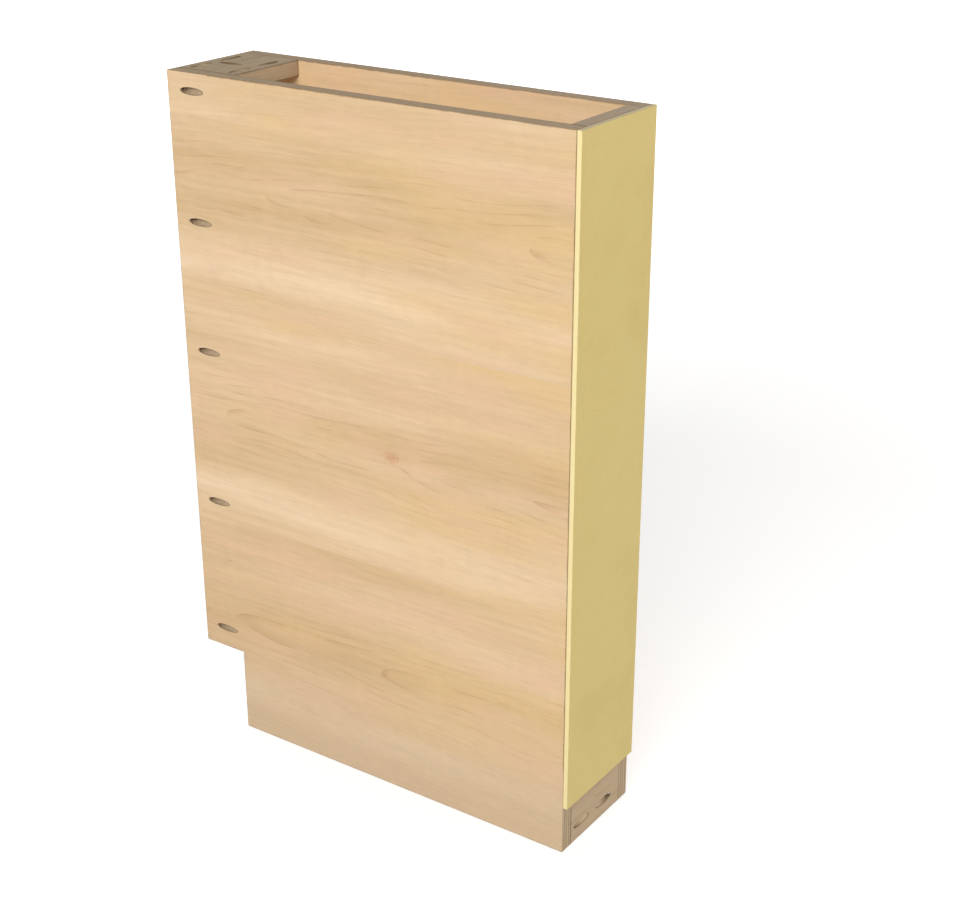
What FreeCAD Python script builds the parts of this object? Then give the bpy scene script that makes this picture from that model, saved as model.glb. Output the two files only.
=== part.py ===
import FreeCAD, Part
import math
import os
from collections import namedtuple

# Tray base cabinet: a tall, narrow, open carcass of two plywood sides held apart by four cross boards and
# a shelf, closed by a thin back. Millimetres, +Z up, the open front towards -Y, the origin on the floor at
# the centre of the footprint. Right and left are as seen from the front, so right is +X.

# Carcass
CABINET_WIDTH = 152.4  # outside, over both sides
CABINET_HEIGHT = 876.3  # floor to the top edges
SIDE_DEPTH = 565.15  # front edge to rear edge of a side
SIDE_THICKNESS = 19.05
SHELF_THICKNESS = 19.05
TOE_DEPTH = 63.5  # toe recess, front to back
TOE_HEIGHT = 114.3  # toe recess, and the underside of the shelf
BACK_THICKNESS = 6.35
BACK_LIFT = 63.5  # lower edge of the back above the floor

# Cross boards
BOARD_THICKNESS = 19.05
STRETCHER_WIDTH = 88.9  # laid flat along the top of the front
RAIL_HEIGHT = 88.9  # on edge along the top of the rear
EDGE_EASE = 0.4  # sanded edges of every panel and board

# Pocket holes: a stepped hole drilled at a slope through a face and out of the board's end
POCKET_SLOPE = 15.0  # degrees between the hole and the face
POCKET_DIAMETER = 9.525
PILOT_DIAMETER = 3.6
POCKET_ROOF = 0.2  # wood left over the pocket's flat end
RIGHT_POCKET_SETBACK = 25.4  # mouth's centre from the right end of a cross board
LEFT_POCKET_SETBACK = 38.1  # and from its left end
FRAME_POCKET_SETBACK = 38.1  # and from the cabinet's front edge, where a face frame is screwed on
STRETCHER_POCKET_MARGIN = 14.5  # pocket's centre line from the stretcher's long edges
UPRIGHT_POCKET_MARGIN = 20.5  # and from the long edges of the upright boards
SHELF_POCKET_MARGIN = 35.0  # first and last shelf pocket from the base boards
SHELF_POCKET_COUNT = 4  # along each long edge of the shelf
END_POCKET_COUNT = 2  # at each end of the other cross boards
SIDE_POCKET_TOP_MARGIN = 21.6  # highest pocket of a side, below its top edge
SIDE_POCKET_TOE_MARGIN = 28.1  # lowest one, above the toe recess
SIDE_POCKET_STEPS = (0.0, 0.221, 0.453, 0.74, 1.0)  # from the highest to the lowest, spaced by eye

# Pocket screws
SCREW_CLEARANCE = 0.05  # round the shank
SCREW_POINT_COVER = 2.0  # wood between the point and the outside of the cabinet
SCREW_POINT_LENGTH = 5.0
SCREW_POINT_DIAMETER = 0.6
WASHER_CLEARANCE = 0.65  # between the washer and the pocket's wall
WASHER_THICKNESS = 0.8
WASHER_RIM = 1.0  # washer beyond the head
HEAD_HEIGHT = 2.4
DRIVE_WIDTH = 2.8  # square recess
DRIVE_DEPTH = 1.6

# Brads that hold the back
BRAD_DIAMETER = 1.2
BRAD_LENGTH = 19.0
BRAD_HEAD_DIAMETER = 2.4
BRAD_HEAD_THICKNESS = 1.0
BRAD_CLEARANCE = 0.02
BRAD_PITCH = 125.0  # the most between two brads up a side
BRAD_CROSS_SPACING = 60.0  # between the two brads in a cross board

HALF_WIDTH = CABINET_WIDTH / 2
HALF_BAY = HALF_WIDTH - SIDE_THICKNESS
FRONT_Y = -(SIDE_DEPTH + BACK_THICKNESS) / 2
REAR_Y = FRONT_Y + SIDE_DEPTH
OUTER_Y = REAR_Y + BACK_THICKNESS
TOE_Y = FRONT_Y + TOE_DEPTH
TOE_BOARD_REAR_Y = TOE_Y + BOARD_THICKNESS
REAR_BOARD_FRONT_Y = REAR_Y - BOARD_THICKNESS

SLOPE = math.radians(POCKET_SLOPE)
POCKET_RADIUS = POCKET_DIAMETER / 2
PILOT_RADIUS = PILOT_DIAMETER / 2
MOUTH_HALF_LENGTH = POCKET_RADIUS / math.sin(SLOPE)

RIGHT = FreeCAD.Vector(1, 0, 0)
BACKWARDS = FreeCAD.Vector(0, 1, 0)
UP = FreeCAD.Vector(0, 0, 1)
SIDES = ((1, "right"), (-1, "left"))  # the sign of x, and its name

# mouth: centre of the oval on the board's face. inward: from the board's end along the board.
# out: out of that face. setback: from the end to the mouth's centre.
Pocket = namedtuple("Pocket", "mouth inward out setback")


def even(first, last, count):
    """Evenly spaced values from first to last."""
    return [first + (last - first) * i / (count - 1) for i in range(count)]


def board(low, high):
    """A rectangular board between two corners, with eased edges."""
    size = FreeCAD.Vector(*high) - FreeCAD.Vector(*low)
    solid = Part.makeBox(size.x, size.y, size.z, FreeCAD.Vector(*low))
    return solid.makeChamfer(EDGE_EASE, solid.Edges)


def revolved(profile):
    """A solid of revolution about +Z, from (radius, height) points that start and end on the axis."""
    points = [FreeCAD.Vector(radius, 0, height) for radius, height in profile]
    face = Part.Face(Part.makePolygon(points + points[:1]))
    return face.revolve(FreeCAD.Vector(0, 0, 0), UP, 360)


def set_along(solid, origin, axis):
    """A solid made about +Z at the origin, moved to a point and turned so that +Z lies along the axis."""
    placed = solid.copy()
    placed.Placement = FreeCAD.Placement(origin, FreeCAD.Rotation(UP, axis))
    return placed


# Pocket holes


def pocket_axis(pocket):
    """Unit vector along the hole, out of its mouth."""
    return pocket.inward * math.cos(SLOPE) + pocket.out * math.sin(SLOPE)


def pocket_exit(pocket):
    """Where the hole's axis comes out of the board's end."""
    return pocket.mouth - pocket_axis(pocket) * (pocket.setback / math.cos(SLOPE))


def pilot_length(pocket):
    """From the board's end to the pocket's flat end, so that the roof over that end keeps its thickness."""
    depth_at_end = pocket.setback * math.tan(SLOPE)
    return (depth_at_end - POCKET_RADIUS * math.cos(SLOPE) - POCKET_ROOF) / math.sin(SLOPE)


def pocket_seat(pocket):
    """Centre of the pocket's flat end, where a screw's head seats."""
    return pocket_exit(pocket) + pocket_axis(pocket) * pilot_length(pocket)


def pocket_cutter(pocket):
    """The stepped drill: wide from the seat out past the face, narrow from the seat out past the end."""
    axis = pocket_axis(pocket)
    seat = pocket_seat(pocket)
    to_mouth = pocket.setback / math.cos(SLOPE) - pilot_length(pocket)
    wide_length = to_mouth + MOUTH_HALF_LENGTH + POCKET_DIAMETER
    wide = Part.makeCylinder(POCKET_RADIUS, wide_length, seat, axis)
    narrow = Part.makeCylinder(PILOT_RADIUS, pilot_length(pocket) + PILOT_DIAMETER, seat, -axis)
    return wide.fuse(narrow)


def end_pockets(side, places, out):
    """Pockets at one end of a cross board, with their mouths at the (y, z) places."""
    setback = RIGHT_POCKET_SETBACK if side > 0 else LEFT_POCKET_SETBACK
    x = side * (HALF_BAY - setback)
    return [Pocket(FreeCAD.Vector(x, y, z), RIGHT * -side, out, setback) for y, z in places]


def stretcher_places():
    """Mouths on the stretcher's top face, from one long edge to the other."""
    first = FRONT_Y + STRETCHER_POCKET_MARGIN
    last = FRONT_Y + STRETCHER_WIDTH - STRETCHER_POCKET_MARGIN
    return [(y, CABINET_HEIGHT) for y in even(first, last, END_POCKET_COUNT)]


def upright_places(rear_face, bottom, top):
    """Mouths on the rear face of an upright board, from its lower edge to its upper one."""
    first = bottom + UPRIGHT_POCKET_MARGIN
    last = top - UPRIGHT_POCKET_MARGIN
    return [(rear_face, z) for z in even(first, last, END_POCKET_COUNT)]


def shelf_places():
    """Mouths on the shelf's underside, between the two base boards."""
    first = TOE_BOARD_REAR_Y + SHELF_POCKET_MARGIN
    last = REAR_BOARD_FRONT_Y - SHELF_POCKET_MARGIN
    return [(y, TOE_HEIGHT) for y in even(first, last, SHELF_POCKET_COUNT)]


def stretcher_frame_pocket():
    """The stretcher's one pocket towards a face frame, midway between the mouths of its end pockets."""
    right_tip = HALF_BAY - RIGHT_POCKET_SETBACK - MOUTH_HALF_LENGTH
    left_tip = -HALF_BAY + LEFT_POCKET_SETBACK + MOUTH_HALF_LENGTH
    mouth = FreeCAD.Vector((right_tip + left_tip) / 2, FRONT_Y + FRAME_POCKET_SETBACK, CABINET_HEIGHT)
    return Pocket(mouth, BACKWARDS, UP, FRAME_POCKET_SETBACK)


def side_frame_pockets(side):
    """Pockets down the outside of a side, towards a face frame."""
    highest = CABINET_HEIGHT - SIDE_POCKET_TOP_MARGIN
    lowest = TOE_HEIGHT + SIDE_POCKET_TOE_MARGIN
    x = side * HALF_WIDTH
    y = FRONT_Y + FRAME_POCKET_SETBACK
    mouths = [FreeCAD.Vector(x, y, highest + (lowest - highest) * step) for step in SIDE_POCKET_STEPS]
    return [Pocket(mouth, BACKWARDS, RIGHT * side, FRAME_POCKET_SETBACK) for mouth in mouths]


# Screws and brads


def screw_shank(pocket, clearance):
    """(radius, height) points from the point up the shank to the seat, with a clearance all round."""
    radius = PILOT_RADIUS - SCREW_CLEARANCE + clearance
    tip_radius = SCREW_POINT_DIAMETER / 2 + clearance
    in_side = (SIDE_THICKNESS - SCREW_POINT_COVER) / math.cos(SLOPE)
    tip = -(pilot_length(pocket) + in_side) - clearance
    return [(0, tip), (tip_radius, tip), (radius, tip + SCREW_POINT_LENGTH), (radius, 0)]


def pocket_screw(pocket):
    """A screw in its pocket: point, shank, washer, and head with a square recess."""
    washer_radius = POCKET_RADIUS - WASHER_CLEARANCE
    head_radius = washer_radius - WASHER_RIM
    head = [
        (washer_radius, 0),
        (washer_radius, WASHER_THICKNESS),
        (head_radius, WASHER_THICKNESS),
        (head_radius, HEAD_HEIGHT),
        (0, HEAD_HEIGHT),
    ]
    corner = FreeCAD.Vector(-DRIVE_WIDTH / 2, -DRIVE_WIDTH / 2, HEAD_HEIGHT - DRIVE_DEPTH)
    recess = Part.makeBox(DRIVE_WIDTH, DRIVE_WIDTH, HEAD_HEIGHT, corner)
    solid = revolved(screw_shank(pocket, 0) + head).cut(recess)
    return set_along(solid, pocket_seat(pocket), pocket_axis(pocket))


def screw_hole(pocket):
    """The hole that a screw makes for itself in the side that it enters."""
    solid = revolved(screw_shank(pocket, SCREW_CLEARANCE) + [(0, 0)])
    return set_along(solid, pocket_seat(pocket), pocket_axis(pocket))


def brad(x, z, clearance):
    """A brad driven in from behind with its head flush, or its hole where there is a clearance."""
    shank_radius = BRAD_DIAMETER / 2 + clearance
    head_radius = BRAD_HEAD_DIAMETER / 2 + clearance
    tip = -BRAD_LENGTH - clearance
    solid = revolved(
        [
            (0, tip),
            (shank_radius, tip),
            (shank_radius, -BRAD_HEAD_THICKNESS),
            (head_radius, -BRAD_HEAD_THICKNESS),
            (head_radius, 0),
            (0, 0),
        ]
    )
    return set_along(solid, FreeCAD.Vector(x, OUTER_Y, z), BACKWARDS)


def brad_rows():
    """Node name, the piece that its brads enter, and their (x, z) points on the back's outer face."""
    middle_of_side = HALF_WIDTH - SIDE_THICKNESS / 2
    between_rail_pockets = CABINET_HEIGHT - RAIL_HEIGHT / 2
    under_base_pockets = (BACK_LIFT + TOE_HEIGHT - UPRIGHT_POCKET_MARGIN - POCKET_RADIUS) / 2
    middle_of_shelf = TOE_HEIGHT + SHELF_THICKNESS / 2
    count = math.ceil((between_rail_pockets - under_base_pockets) / BRAD_PITCH) + 1
    heights = even(under_base_pockets, between_rail_pockets, count)
    cross = (-BRAD_CROSS_SPACING / 2, BRAD_CROSS_SPACING / 2)
    rows = [
        (f"back_brads_{name}", f"{name}_side_panel", [(side * middle_of_side, z) for z in heights])
        for side, name in SIDES
    ]
    return rows + [
        ("back_brads_rail", "rear_top_rail", [(x, between_rail_pockets) for x in cross]),
        ("back_brads_shelf", "bottom_shelf", [(x, middle_of_shelf) for x in cross]),
        ("back_brads_base", "rear_base_board", [(x, under_base_pockets) for x in cross]),
    ]


# Panels and boards


def side_blank(side):
    """A side before drilling: a sheet with the toe recess sawn out of its lower front corner."""
    outline = [
        (FRONT_Y, TOE_HEIGHT),
        (TOE_Y, TOE_HEIGHT),
        (TOE_Y, 0),
        (REAR_Y, 0),
        (REAR_Y, CABINET_HEIGHT),
        (FRONT_Y, CABINET_HEIGHT),
    ]
    low_x = HALF_BAY if side > 0 else -HALF_WIDTH
    points = [FreeCAD.Vector(low_x, y, z) for y, z in outline]
    sheet = Part.Face(Part.makePolygon(points + points[:1])).extrude(RIGHT * SIDE_THICKNESS)
    inside_corner = Part.Vertex(FreeCAD.Vector(low_x + SIDE_THICKNESS / 2, TOE_Y, TOE_HEIGHT))
    outside_edges = [edge for edge in sheet.Edges if edge.distToShape(inside_corner)[0] > EDGE_EASE]
    return sheet.makeChamfer(EDGE_EASE, outside_edges)


def cross_pieces():
    """Name, two corners, pocket mouths and pocket face's direction of each piece held between the sides."""
    top = CABINET_HEIGHT
    return [
        (
            "front_top_stretcher",
            (-HALF_BAY, FRONT_Y, top - BOARD_THICKNESS),
            (HALF_BAY, FRONT_Y + STRETCHER_WIDTH, top),
            stretcher_places(),
            UP,
        ),
        (
            "rear_top_rail",
            (-HALF_BAY, REAR_BOARD_FRONT_Y, top - RAIL_HEIGHT),
            (HALF_BAY, REAR_Y, top),
            upright_places(REAR_Y, top - RAIL_HEIGHT, top),
            BACKWARDS,
        ),
        (
            "bottom_shelf",
            (-HALF_BAY, FRONT_Y, TOE_HEIGHT),
            (HALF_BAY, REAR_Y, TOE_HEIGHT + SHELF_THICKNESS),
            shelf_places(),
            -UP,
        ),
        (
            "toe_kick_board",
            (-HALF_BAY, TOE_Y, 0),
            (HALF_BAY, TOE_BOARD_REAR_Y, TOE_HEIGHT),
            upright_places(TOE_BOARD_REAR_Y, 0, TOE_HEIGHT),
            BACKWARDS,
        ),
        (
            "rear_base_board",
            (-HALF_BAY, REAR_BOARD_FRONT_Y, 0),
            (HALF_BAY, REAR_Y, TOE_HEIGHT),
            upright_places(REAR_Y, 0, TOE_HEIGHT),
            BACKWARDS,
        ),
    ]


def build():
    """Every node's shape by name."""
    nodes = {f"{name}_side_panel": side_blank(side) for side, name in SIDES}
    for node, low, high, places, out in cross_pieces():
        nodes[node] = board(low, high)
        for side, name in SIDES:
            pockets = end_pockets(side, places, out)
            panel = f"{name}_side_panel"
            nodes[node] = nodes[node].cut([pocket_cutter(pocket) for pocket in pockets])
            nodes[panel] = nodes[panel].cut([screw_hole(pocket) for pocket in pockets])
            nodes[f"{node}_screws_{name}"] = Part.makeCompound([pocket_screw(pocket) for pocket in pockets])

    nodes["front_top_stretcher"] = nodes["front_top_stretcher"].cut(pocket_cutter(stretcher_frame_pocket()))
    for side, name in SIDES:
        cutters = [pocket_cutter(pocket) for pocket in side_frame_pockets(side)]
        nodes[f"{name}_side_panel"] = nodes[f"{name}_side_panel"].cut(cutters)

    nodes["back_panel"] = board((-HALF_WIDTH, REAR_Y, BACK_LIFT), (HALF_WIDTH, OUTER_Y, CABINET_HEIGHT))
    for node, held_by, places in brad_rows():
        holes = [brad(x, z, BRAD_CLEARANCE) for x, z in places]
        nodes["back_panel"] = nodes["back_panel"].cut(holes)
        nodes[held_by] = nodes[held_by].cut(holes)
        nodes[node] = Part.makeCompound([brad(x, z, 0) for x, z in places])
    return nodes


def main():
    os.makedirs("parts", exist_ok=True)
    for name, shape in build().items():
        shape.exportStep(os.path.join("parts", name + ".step"))


main()
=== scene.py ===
from functools import partial, partialmethod, reduce, wraps
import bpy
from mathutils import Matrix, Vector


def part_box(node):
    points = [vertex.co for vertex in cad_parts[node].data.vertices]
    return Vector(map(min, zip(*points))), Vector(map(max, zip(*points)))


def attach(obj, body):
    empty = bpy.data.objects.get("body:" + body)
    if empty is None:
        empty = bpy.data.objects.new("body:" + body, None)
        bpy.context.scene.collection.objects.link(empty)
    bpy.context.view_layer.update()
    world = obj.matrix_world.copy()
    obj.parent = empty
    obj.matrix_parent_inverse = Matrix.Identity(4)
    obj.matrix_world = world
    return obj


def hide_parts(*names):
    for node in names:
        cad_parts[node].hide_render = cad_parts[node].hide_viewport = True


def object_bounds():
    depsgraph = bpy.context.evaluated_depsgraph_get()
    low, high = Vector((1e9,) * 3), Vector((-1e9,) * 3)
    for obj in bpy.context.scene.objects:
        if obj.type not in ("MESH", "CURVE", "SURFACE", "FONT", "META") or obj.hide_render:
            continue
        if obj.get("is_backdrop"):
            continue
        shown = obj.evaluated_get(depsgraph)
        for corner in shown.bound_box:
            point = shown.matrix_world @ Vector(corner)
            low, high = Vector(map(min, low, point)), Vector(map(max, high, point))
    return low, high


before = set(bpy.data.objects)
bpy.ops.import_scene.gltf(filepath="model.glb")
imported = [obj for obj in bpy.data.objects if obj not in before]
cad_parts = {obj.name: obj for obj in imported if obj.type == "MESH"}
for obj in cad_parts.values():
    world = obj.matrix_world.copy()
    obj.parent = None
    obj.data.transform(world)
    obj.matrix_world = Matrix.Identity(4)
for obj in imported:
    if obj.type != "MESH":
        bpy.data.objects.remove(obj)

from inspect import signature
from math import cos, pi, radians, sin

import bpy
import numpy as np
from bpy.props import FloatProperty, FloatVectorProperty, IntProperty, PointerProperty
from bpy.types import Operator, Panel, PropertyGroup
from mathutils import Vector

bl_info = {
    "name": "Tray base cabinet",
    "version": (1, 0, 0),
    "blender": (4, 5, 0),
    "location": "3D View > Sidebar > Cabinet",
    "description": "Dresses a narrow pocket-screwed plywood cabinet and sets a studio stage round it",
    "category": "Object",
}

CAD_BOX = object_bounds()
BODY = "root"
MM = 0.001
X, Y, Z = 0, 1, 2

# Each cross board with the direction that its pocket mouths face
POCKET_FACES = {
    "front_top_stretcher": (0, 0, 1),
    "rear_top_rail": (0, 1, 0),
    "bottom_shelf": (0, 0, -1),
    "toe_kick_board": (0, 1, 0),
    "rear_base_board": (0, 1, 0),
}
# Side of the cabinet, as the sign of X
SIDES = {"right": 1, "left": -1}
BRAD_NODES = [f"back_brads_{place}" for place in ("right", "left", "rail", "shelf", "base")]
# Each solid board's axes across its grain and through it, place in the noise, and share of late wood
BOARDS = {
    "front_top_stretcher": (Y, Z, 2.0, 0.12),
    "rear_top_rail": (Z, Y, 5.5, 0.3),
    "toe_kick_board": (Z, Y, 8.2, 0.12),
    "rear_base_board": (Z, Y, 12.9, 0.12),
}
# Leaf width that takes in a whole board
WHOLE_BOARD = 10.0
# Each plywood piece's place in the noise, and the steps there to its other face, the next leaf and its rings
PLYWOOD_SEEDS = {"right_side_panel": 4.0, "left_side_panel": 9.3, "bottom_shelf": 17.6}
FACE_STEP = 2.45
LEAF_STEP = 3.7
RING_STEP = 7.1
# Noise of the grain: length along it and width across it in millimetres, place in the noise, and detail
GRAIN = {
    "Band": (550, 50, 0.0, 1.0),
    "Streak": (160, 6.5, 4.4, 2.0),
    "Hue": (300, 60, 11.0, 2.0),
    "Blush": (180, 45, 14.2, 2.0),
    "Mottle": (18, 9, 9.6, 2.0),
    "Fibre": (42, 1.6, 3.1, 4.0),
    "Pore": (18, 0.8, 6.7, 2.0),
    "Curl": (12, 60, 2.9, 2.0),
    "curly patches": (100, 100, 8.4, 2.0),
    "late patches": (60, 16, 5.2, 2.0),
    "dip": (180, 400, 7.7, 1.0),
    "waver": (170, 40, 1.3, 1.0),
}
# Knots on the right side's outer face: place from its front and its foot, length, height and strength
KNOTS = (
    (320.5 * MM, 458 * MM, 32 * MM, 16 * MM, 0.55),
    (50 * MM, 246 * MM, 12 * MM, 4 * MM, 0.5),
    (300 * MM, 156 * MM, 16 * MM, 7 * MM, 0.35),
)
# Share of a fastener's radius that is left at its point, and the angle from which its edges look sharp
BLUNT = 0.06
SHARP_ANGLE = radians(40)
# Each lamp's azimuth and elevation in degrees and its height in metres
LAMPS = {
    "key": (104, 30, 3.0),
    "rear_fill": (186, 9, 2.0),
    "left_fill": (282, 7, 2.0),
    "front_fill": (350, 7, 2.0),
}
LAMP_WIDTH = 4.0
LAMP_DISTANCE = 7.0
# Floor: half width, cells along a side, drop below the feet, and the distances between which it turns white
FLOOR_REACH = 60.0
FLOOR_CELLS = 8
FLOOR_DROP = 0.2 * MM
FLOOR_FADE = (1.0, 5.0)


# Settings


def linear(red, green, blue):
    """Linear colour of three display values from 0 to 255, by the sRGB curve."""
    share = np.array((red, green, blue)) / 255
    curve = np.where(share <= 0.04045, share / 12.92, ((share + 0.055) / 1.055) ** 2.4)
    return tuple(curve.tolist())


def colour(name, display, description):
    """A colour setting, given by its three display values."""
    return FloatVectorProperty(
        name=name, description=description, subtype="COLOR", size=3,
        min=0.0, max=1.0, default=linear(*display),
    )


def length(name, millimetres, description):
    """A length setting, given in millimetres."""
    return FloatProperty(
        name=name, description=description, subtype="DISTANCE", unit="LENGTH",
        min=0.0, default=millimetres * MM,
    )


def share(name, default, description):
    """A setting between nothing and all."""
    return FloatProperty(
        name=name, description=description, subtype="FACTOR", min=0.0, max=1.0, default=default
    )


def angle(name, degrees, description):
    """An angle setting, given in degrees."""
    return FloatProperty(
        name=name, description=description, subtype="ANGLE", unit="ROTATION", default=radians(degrees)
    )


class PlywoodSettings(PropertyGroup):
    """Sheet of the sides and the shelf: face veneer in slip-matched leaves over cross-bonded layers."""

    sapwood: colour("Sapwood", (244, 216, 180), "Pale bands beside a leaf's heart")
    heartwood: colour("Heartwood", (211, 177, 131), "Darker wood at a leaf's heart")
    honey: colour("Honey", (231, 197, 145), "Warmer clouds in the veneer")
    blush: colour("Blush", (233, 195, 160), "Pinkish clouds in the veneer")
    foot: colour("Foot", (214, 188, 156), "Greyer veneer at the foot of a side")
    late_wood: colour("Late wood", (182, 131, 92), "Fine dark lines between growth rings")
    knot: colour("Knot", (207, 146, 106), "Reddish pin knots")
    side_layer: colour("Layer, side grain", (192, 169, 139), "Inner layers cut along the grain")
    end_layer: colour("Layer, end grain", (168, 147, 120), "Inner layers cut across the grain")
    glue: colour("Glue line", (140, 115, 88), "Thin film between two layers")
    # Worn edge: arrises darkened partly by handling and partly as painted shade in the grooves where pieces
    # meet and in the pocket mouths
    worn: colour("Worn edge", (128, 100, 71), "Arrises darkened by handling")
    worn_share: share("Worn share", 0.75, "How strongly the worn arrises show")
    wear: length("Wear", 1.9, "Width of the worn arrises")
    leaf: length("Leaf width", 292.1, "Width of one veneer leaf")
    heart: length("Lowest heart", 161.0, "Height of the lowest leaf's heart on a side")
    shelf_heart: length("Shelf heart", 40.0, "Heart of the shelf's veneer, from its left edge")
    heart_reach: length("Heart reach", 60.0, "Half width of the darker heart")
    sap_offset: length("Sapwood offset", 95.0, "Middle of the pale band, below a leaf's heart")
    sap_reach: length("Sapwood reach", 55.0, "Half width of the pale band")
    foot_height: length("Foot height", 190.0, "Height over which the greyer veneer fades")
    cut: length("Cut", 12.0, "Distance of the veneer from the tree's heart line")
    ring: length("Ring spacing", 8.5, "Distance between growth rings")
    wander: length("Wander", 16.0, "How far the growth rings wander")
    taper: share("Taper", 0.05, "Slope of the growth rings along the trunk")
    veneer: length("Veneer", 0.6, "Thickness of the face veneer")
    layers: IntProperty(name="Layers", description="Layers between the two face veneers", min=1, default=7)
    figure: share("Figure", 0.42, "How strongly the growth lines show")
    sheen: share("Sheen", 0.06, "Gloss of the sanded wood")


class BoardSettings(PropertyGroup):
    """Sawn solid boards held between the sides."""

    early_wood: colour("Early wood", (185, 163, 134), "Pale part of each growth ring")
    late_wood: colour("Late wood", (158, 133, 103), "Dark part of each growth ring")
    drilled: colour("Drilled wood", (189, 167, 137), "Fresh rough wood inside the pockets")
    end_grain: colour("End grain", (142, 118, 91), "Wood cut square across the grain")
    # Worn edge: arrises darkened partly by handling and partly as painted shade in the grooves where pieces
    # meet and in the pocket mouths
    worn: colour("Worn edge", (104, 83, 60), "Arrises darkened by handling")
    worn_share: share("Worn share", 0.8, "How strongly the worn arrises show")
    wear: length("Wear", 1.9, "Width of the worn arrises")
    # Dark line at each board's end, where it meets a side: partly dirt in the joint, partly painted shade of
    # the joint gap
    seam: colour("Seam", (66, 52, 38), "Dark line where a board's end meets a side")
    seam_width: length("Seam width", 1.0, "Width of that line on the board")
    seam_share: share("Seam share", 0.7, "How strongly the seam shows")
    ring: length("Ring spacing", 4.2, "Distance between growth rings")
    wander: length("Wander", 10.0, "How far the growth rings wander")
    taper: share("Taper", 0.02, "Slope of the growth rings along the trunk")
    heart: length("Heart below", 38.0, "Depth of the tree's heart below a board's face")
    heart_across: share("Heart across", 0.4, "Place of the tree's heart across a board's width")
    sheen: share("Sheen", 0.06, "Gloss of the planed wood")


class BackSettings(PropertyGroup):
    """Thin straw-coloured fibre sheet of the back."""

    face: colour("Face", (206, 185, 121), "Pressed face of the sheet")
    shadow: colour("Shade", (196, 173, 107), "Darker clouds and flecks in the face")
    straw: colour("Straw", (216, 197, 139), "Pale fibre flecks")
    # Edge: the sawn edges painted lighter than the face, as painted light on a lit edge
    edge: colour("Edge", (248, 230, 172), "Fresh straw colour of the sawn edges")
    # Top edge: edges that face up or down painted darker, as painted shade
    top_edge: colour("Top edge", (207, 192, 155), "Edges that face up or down, dulled by dust")
    # Worn edge: arrises darkened partly by handling and partly as painted shade in the grooves where pieces
    # meet
    worn: colour("Worn edge", (165, 143, 88), "Arrises darkened by handling")
    worn_share: share("Worn share", 0.45, "How strongly the worn arrises show")
    wear: length("Wear", 0.9, "Width of the worn arrises")
    fibre: length("Fibre", 1.1, "Width of a fibre fleck")
    sheen: share("Sheen", 0.12, "Gloss of the pressed face")


class ScrewSettings(PropertyGroup):
    """Washer-head pocket screws with a square drive."""

    slope: angle("Slope", 15.0, "Angle between a screw and its board's face")
    head_height: length("Head height", 2.4, "From the washer's seat to the top of the head")
    washer_radius: length("Washer radius", 4.1125, "Rim of the washer under the head")
    washer_thickness: length("Washer thickness", 0.8, "Thickness of the washer at its rim")
    head_radius: length("Head radius", 3.1125, "Round head above the washer")
    drive: length("Drive", 2.8, "Width of the square recess")
    drive_depth: length("Drive depth", 1.6, "Depth of the square recess")
    shank_radius: length("Shank radius", 1.75, "Smooth shank below the head")
    core_radius: length("Core radius", 1.3, "Bottom of the thread")
    pitch: length("Pitch", 2.6, "Rise of the thread in one turn")
    smooth_length: length("Smooth length", 6.5, "Shank without a thread, below the head")
    point_length: length("Point length", 5.0, "Taper of the point")
    zinc: colour("Zinc", (208, 208, 203), "Bright plating")
    dull_zinc: colour("Dull zinc", (165, 168, 168), "Plating dulled by handling")


class BradSettings(PropertyGroup):
    """Small brads that hold the back, with heads coloured to match it."""

    head_thickness: length("Head thickness", 1.0, "Depth of the head in the back")
    shank_radius: length("Shank radius", 0.6, "Wire of the brad")
    point_length: length("Point length", 1.8, "Four-sided point")
    grip_length: length("Grip length", 4.0, "Ringed part of the shank below the head")
    grip_depth: length("Grip depth", 0.05, "Height of the grip rings")
    steel: colour("Steel", (176, 174, 170), "Bare wire")
    paint: colour("Paint", (203, 181, 117), "Colour of the head, matched to the back")


class StageSettings(PropertyGroup):
    """Camera, lamps and floor."""

    camera_place: FloatVectorProperty(
        name="Camera place", description="From the middle of the cabinet's footprint",
        subtype="TRANSLATION", unit="LENGTH", default=(1.53783, 1.17040, 1.25738),
    )
    camera_azimuth: angle("Camera azimuth", 124.426, "Turn round the cabinet, from its front")
    camera_elevation: angle("Camera elevation", 23.458, "How far the camera looks down")
    lens: FloatProperty(
        name="Lens", description="Focal length", subtype="DISTANCE_CAMERA", unit="CAMERA", default=63.58
    )
    floor: colour("Floor", (201, 200, 198), "Pale floor and background paper")
    floor_glow: share("Floor glow", 0.6, "Added to the floor where it is seen, to look white")
    ambient: share("Ambient", 0.1, "Even light from all round")
    key: share("Key", 0.84, "Light on the right side")
    rear_fill: share("Rear fill", 0.55, "Light on the back")
    left_fill: share("Left fill", 0.6, "Light on the left side")
    front_fill: share("Front fill", 0.58, "Light on the front")


class CabinetSettings(PropertyGroup):
    """All settings of the cabinet and its stage."""

    plywood: PointerProperty(type=PlywoodSettings, name="Plywood", description="Sides and shelf")
    boards: PointerProperty(type=BoardSettings, name="Boards", description="Solid cross boards")
    back: PointerProperty(type=BackSettings, name="Back", description="Fibre sheet of the back")
    screws: PointerProperty(type=ScrewSettings, name="Screws", description="Pocket screws")
    brads: PointerProperty(type=BradSettings, name="Brads", description="Brads of the back")
    stage: PointerProperty(type=StageSettings, name="Stage", description="Camera, lamps and floor")


def settings():
    """The cabinet's settings in the open scene."""
    return bpy.context.scene.tray_cabinet


# Node trees


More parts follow.
